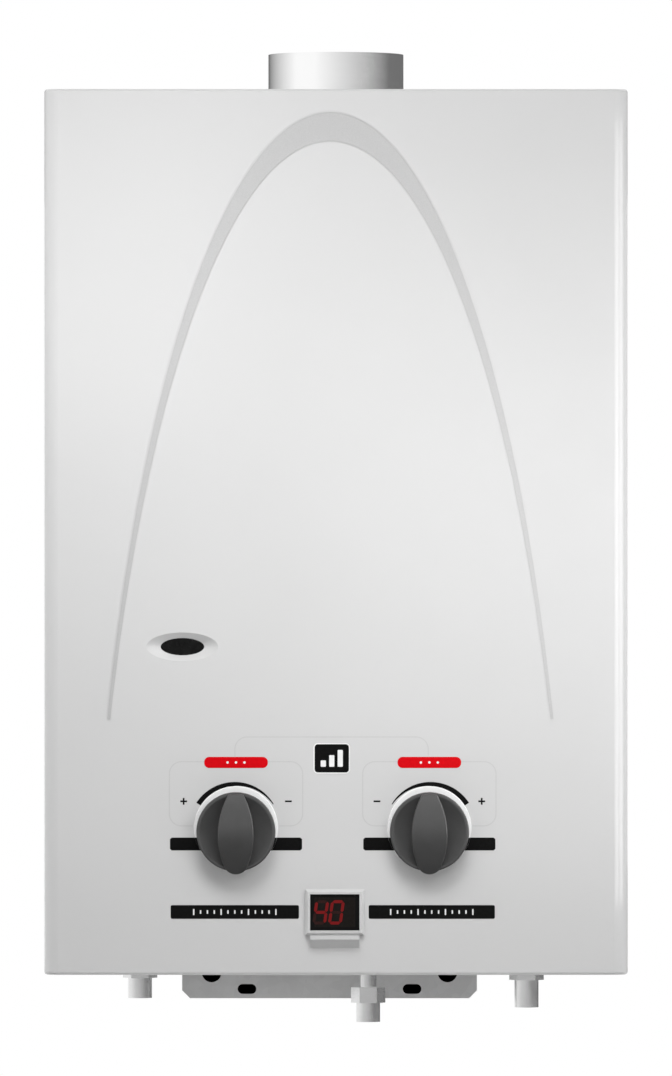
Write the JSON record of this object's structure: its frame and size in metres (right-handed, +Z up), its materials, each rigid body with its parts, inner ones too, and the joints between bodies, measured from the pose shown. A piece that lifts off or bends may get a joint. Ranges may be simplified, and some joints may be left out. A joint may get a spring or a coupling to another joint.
{
  "type": "wall-hung gas water heater",
  "caption": "Wall-hung instantaneous gas water heater: white sheet casing with an arch band, round flue collar, rotary knobs, a small display, a sight window and pipe ends below.",
  "frame": {"origin": "middle of the casing's rear, on the back panel's face that lies on the wall", "axes": "+Z up, +Y into the wall, so the front faces -Y; +X to the right for someone facing the heater"},
  "size_m": [0.29, 0.1422, 0.4868],
  "materials": {
    "white_enamel": "gloss",
    "silver_paint": "satin",
    "galvanised_steel": "satin",
    "polished_steel": "polished",
    "copper": "satin",
    "plated_fittings": "satin",
    "brass": "satin",
    "cast_aluminium": "cast",
    "burner_steel": "satin",
    "bright_steel": "satin",
    "white_ceramic": "glazed",
    "black_rubber": "matte",
    "black_plastic": "matte",
    "knob_plastic": "satin",
    "white_plastic": "satin",
    "silver_plastic": "satin",
    "screen_plastic": "gloss",
    "board_laminate": "matte",
    "dark_mica": "gloss",
    "cell_jacket": "gloss"
  },
  "bodies": {
    "casing": {"front_cover": "white_enamel", "arch_trim": "silver_paint", "back_panel": "galvanised_steel", "bottom_plate": "galvanised_steel", "draught_hood": "galvanised_steel", "chamber_brackets": "galvanised_steel", "valve_bracket": "galvanised_steel", "electrode_bracket": "galvanised_steel", "flue_collar": "polished_steel", "combustion_chamber": "copper", "fin_pack": "copper", "exchanger_tube": "copper", "jacket_coil": "copper", "cold_riser": "copper", "gas_feed_pipe": "copper", "hot_pipe": "plated_fittings", "cold_inlet_pipe": "plated_fittings", "gas_inlet_pipe": "plated_fittings", "gas_union_nut": "plated_fittings", "gas_inlet_tail": "plated_fittings", "fitting_lock_nuts": "plated_fittings", "gas_manifold": "brass", "injectors": "brass", "water_valve_body": "brass", "diaphragm_cover": "brass", "gas_valve_body": "cast_aluminium", "burner_frame": "burner_steel", "burner_blades": "burner_steel", "electrode_tips": "burner_steel", "poppet_spring": "bright_steel", "valve_spacers": "bright_steel", "diaphragm_screws": "bright_steel", "temperature_probe": "bright_steel", "overheat_cutout": "bright_steel", "battery_contacts": "bright_steel", "cover_screws": "bright_steel", "electrode_ceramics": "white_ceramic", "electrode_boots": "black_rubber", "electrode_leads": "black_rubber", "diaphragm": "black_rubber", "igniter_box": "black_plastic", "battery_box": "black_plastic", "microswitch": "black_plastic", "display_module": "black_plastic", "sight_frame": "black_plastic", "knob_rings": "white_plastic", "display_bezel": "silver_plastic", "display_lens": "screen_plastic", "display_board": "board_laminate", "sight_glass": "dark_mica", "battery_cells": "cell_jacket"},
    "gas_knob": {"gas_knob": "knob_plastic", "gas_spindle": "bright_steel"},
    "water_knob": {"water_knob": "knob_plastic", "water_spindle": "bright_steel"},
    "push_rod": {"push_rod": "bright_steel", "gas_poppet": "bright_steel"},
    "microswitch_lever": {"microswitch_lever": "bright_steel"},
    "battery_door": {"battery_door": "white_plastic"},
    "drain_plug": {"drain_plug": "brass"}
  },
  "joints": [
    {"name": "gas_knob_turn", "type": "hinge", "parent": "casing", "child": "gas_knob", "pos_m": [-0.04965, -0.1262, -0.1487], "axis": [0, -1, 0], "range_deg": [-53, 53]},
    {"name": "water_knob_turn", "type": "hinge", "parent": "casing", "child": "water_knob", "pos_m": [0.04635, -0.1262, -0.1487], "axis": [0, -1, 0], "range_deg": [-53, 53]},
    {"name": "push_rod_slide", "type": "slide", "parent": "casing", "child": "push_rod", "axis": [-1, 0, 0], "range_m": [0, 0.004], "stiffness_N_per_m": 600, "deforming": ["poppet_spring", "diaphragm"]},
    {"name": "microswitch_lever_swing", "type": "hinge", "parent": "casing", "child": "microswitch_lever", "pos_m": [0.009, -0.082, -0.1657], "axis": [0, -1, 0], "range_deg": [0, 19.1]},
    {"name": "battery_door_swing", "type": "hinge", "parent": "casing", "child": "battery_door", "pos_m": [-0.03435, -0.03, -0.2184], "axis": [1, 0, 0], "range_deg": [0, 95]},
    {"name": "drain_plug_turn", "type": "hinge", "parent": "casing", "child": "drain_plug", "pos_m": [0.0664, -0.082, -0.2145], "axis": [0, 0, 1], "range_deg": [0, 90]}
  ],
  "couplings": [
    {"joint": "microswitch_lever_swing", "follows": "push_rod_slide", "rad_per_m": 83.333}
  ]
}
